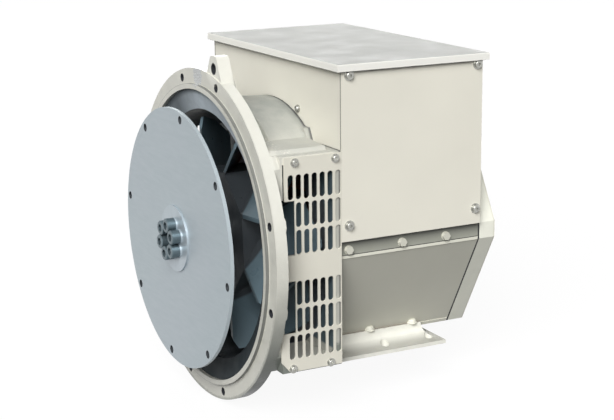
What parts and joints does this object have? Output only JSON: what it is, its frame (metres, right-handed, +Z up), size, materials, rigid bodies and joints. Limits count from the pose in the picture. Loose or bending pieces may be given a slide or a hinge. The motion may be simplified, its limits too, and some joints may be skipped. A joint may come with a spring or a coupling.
{
  "type": "generator alternator head",
  "caption": "Single-bearing brushless alternator head: flanged drive-end casting with flexible coupling disc, side air grilles, cooling fan and box-shaped terminal cabinet on a footed stator.",
  "frame": {"origin": "centre of the adaptor flange's mating face, on the shaft axis", "axes": "+X along the shaft from the drive end to the non-drive end, +Z up toward the terminal box lid, +Y to the left-hand side seen from the drive end"},
  "size_m": [0.4098, 0.4508, 0.4728],
  "materials": {
    "cast_cream": "cream machinery paint over a sand-cast surface",
    "sheet_cream": "smooth cream machinery paint",
    "zinc": "bright zinc plate",
    "black_oxide": "oiled black oxide",
    "disc_steel": "rolled sheet steel, oiled",
    "baffle_steel": "blue-grey paint",
    "machined_steel": "turned steel",
    "fan_cast": "dark teal paint",
    "lamination": "varnished laminations",
    "copper": "red-brown varnished copper winding",
    "moulding": "black glass-filled moulding",
    "potting": "dark blue potting",
    "rubber_seal": "black sheet gasket",
    "brass": "bright brass",
    "bearing_steel": "ground bearing steel"
  },
  "bodies": {
    "stator": {"drive_end_bracket": "cast_cream", "air_baffle": "baffle_steel", "grille_right": "sheet_cream", "grille_left": "sheet_cream", "grille_screws": "zinc", "frame_rings": "cast_cream", "frame_bars": "cast_cream", "frame_rails": "sheet_cream", "nde_gasket": "rubber_seal", "side_bolts": "zinc", "side_cover_right": "sheet_cream", "side_cover_left": "sheet_cream", "foot_right": "cast_cream", "foot_left": "cast_cream", "stator_core": "lamination", "stator_winding": "copper", "nde_bracket": "cast_cream", "nde_cover": "sheet_cream", "nde_cover_screws": "zinc", "bearing_outer_ring": "bearing_steel", "exciter_field": "lamination", "box_frame": "sheet_cream", "box_side_right": "sheet_cream", "box_side_left": "sheet_cream", "box_front": "sheet_cream", "box_rear": "sheet_cream", "box_lid": "sheet_cream", "panel_screws": "zinc", "terminal_board": "moulding", "terminal_studs": "brass", "voltage_regulator": "potting"},
    "rotor": {"shaft": "machined_steel", "disc_spacer": "machined_steel", "coupling_discs": "disc_steel", "clamp_plate": "disc_steel", "coupling_washers": "zinc", "coupling_screws": "black_oxide", "fan": "fan_cast", "rotor_core": "lamination", "field_coils": "copper", "exciter_armature": "lamination", "rectifier_plate": "machined_steel", "rectifier_diodes": "zinc", "bearing_inner_ring": "bearing_steel", "bearing_circlip": "black_oxide"},
    "ball_cage": {"bearing_balls": "bearing_steel", "bearing_cage": "brass"}
  },
  "joints": [
    {"name": "rotor_spin", "type": "hinge", "parent": "stator", "child": "rotor", "pos_m": [0, 0, 0], "axis": [1, 0, 0], "continuous": true},
    {"name": "cage_spin", "type": "hinge", "parent": "stator", "child": "ball_cage", "pos_m": [0, 0, 0], "axis": [1, 0, 0], "continuous": true}
  ],
  "couplings": [
    {"joint": "cage_spin", "follows": "rotor_spin", "ratio": 0.38}
  ]
}
